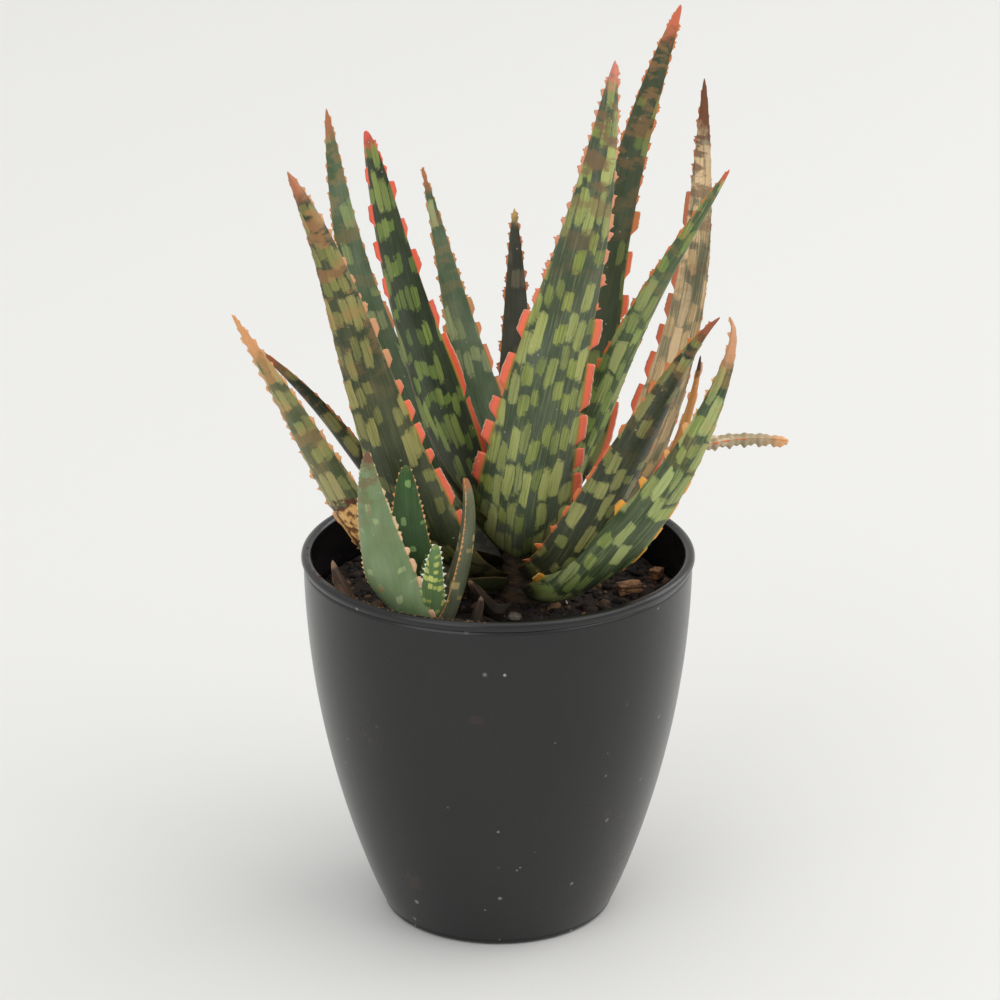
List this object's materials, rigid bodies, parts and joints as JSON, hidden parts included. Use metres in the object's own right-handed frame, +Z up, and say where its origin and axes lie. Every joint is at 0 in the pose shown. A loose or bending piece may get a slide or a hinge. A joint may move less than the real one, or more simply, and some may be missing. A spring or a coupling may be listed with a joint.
{
  "type": "potted aloe plant",
  "caption": "Small aloe with tall toothed, red-margined leaves and a side shoot, planted in soil in a plain black egg-shaped plastic pot.",
  "frame": {"origin": "centre of the pot's underside, where it stands", "axes": "+Z up along the pot's axis, -Y towards the front, where the great leaf stands, +X to the right seen from the front"},
  "size_m": [0.171, 0.12, 0.2815],
  "materials": {
    "pot_plastic": "satin",
    "soil": "matte",
    "leaf": "satin",
    "offset_leaf": "satin",
    "stem": "matte",
    "dry_leaf": "matte",
    "bark": "matte",
    "pebble": "matte"
  },
  "bodies": {
    "root": {"pot": "pot_plastic", "soil": "soil", "stem": "stem", "offset_stem": "stem", "leaf_01_outer_left_low": "leaf", "leaf_02_left_dark": "leaf", "leaf_03_left_front": "leaf", "leaf_04_back_left_outer": "leaf", "leaf_05_left_red_margin": "leaf", "leaf_06_inner_left": "leaf", "leaf_07_back_centre": "leaf", "leaf_08_great_front": "leaf", "leaf_09_tallest": "leaf", "leaf_10_back_right": "leaf", "leaf_11_right_leaning": "leaf", "leaf_12_front_right_dark": "leaf", "leaf_13_front_right_outer": "leaf", "leaf_14_low_right_dry": "leaf", "leaf_15_right_short": "leaf", "leaf_16_inner_small": "leaf", "offset_leaf_1_left": "offset_leaf", "offset_leaf_2_back": "offset_leaf", "offset_leaf_3_front": "offset_leaf", "offset_leaf_4_right": "offset_leaf", "offset_leaf_5_heart": "offset_leaf", "dry_bract_left": "dry_leaf", "dry_bract_front": "dry_leaf", "old_leaf_stub": "dry_leaf", "bark_chip_right": "bark", "bark_chip_back": "bark", "pebble_front": "pebble"}
  },
  "joints": []
}
